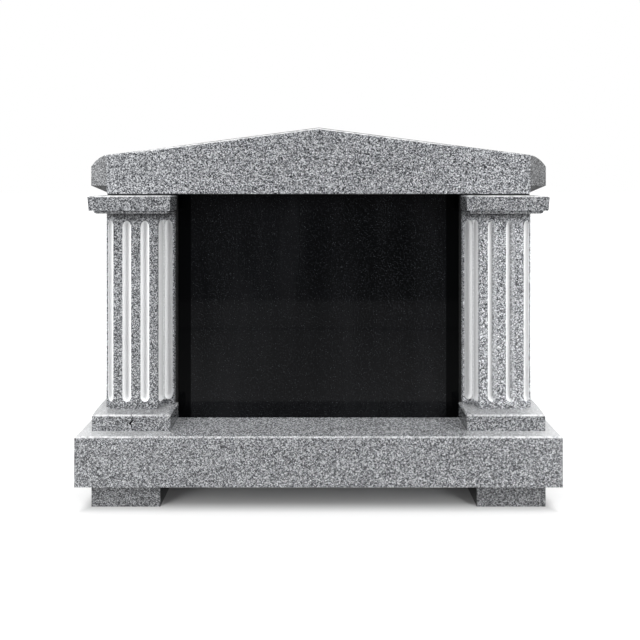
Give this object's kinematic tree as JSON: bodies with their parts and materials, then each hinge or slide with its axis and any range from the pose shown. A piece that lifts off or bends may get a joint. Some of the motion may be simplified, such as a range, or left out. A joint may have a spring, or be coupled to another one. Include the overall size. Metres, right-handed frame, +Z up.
{
  "type": "headstone",
  "caption": "Free-standing granite headstone: a blank polished black tablet between fluted pillars, on a footed plinth under a low gabled cap stone.",
  "frame": {"origin": "bottom centre of the headstone, on the ground between its two feet", "axes": "+Z up, +X along its width, the front of the tablet faces -Y"},
  "size_m": [1.466, 0.312, 1.167],
  "materials": {
    "granite": "honed grey granite with fine light and dark grains",
    "fluted_granite": "grey granite shafts, honed on the faces and smooth and paler in the flutes",
    "foot_granite": "sawn grey granite",
    "black_granite": "mirror-polished black granite with tiny pale specks",
    "sealant": "matt dark grey setting compound"
  },
  "bodies": {
    "root": {"foot_left": "foot_granite", "foot_right": "foot_granite", "plinth": "granite", "pillar_base_left": "granite", "pillar_base_right": "granite", "pillar_left": "fluted_granite", "pillar_right": "fluted_granite", "capital_left": "granite", "capital_right": "granite", "tablet": "black_granite", "tablet_joint_left": "sealant", "tablet_joint_right": "sealant", "cap_bed": "sealant", "cap_stone": "granite"}
  },
  "joints": []
}
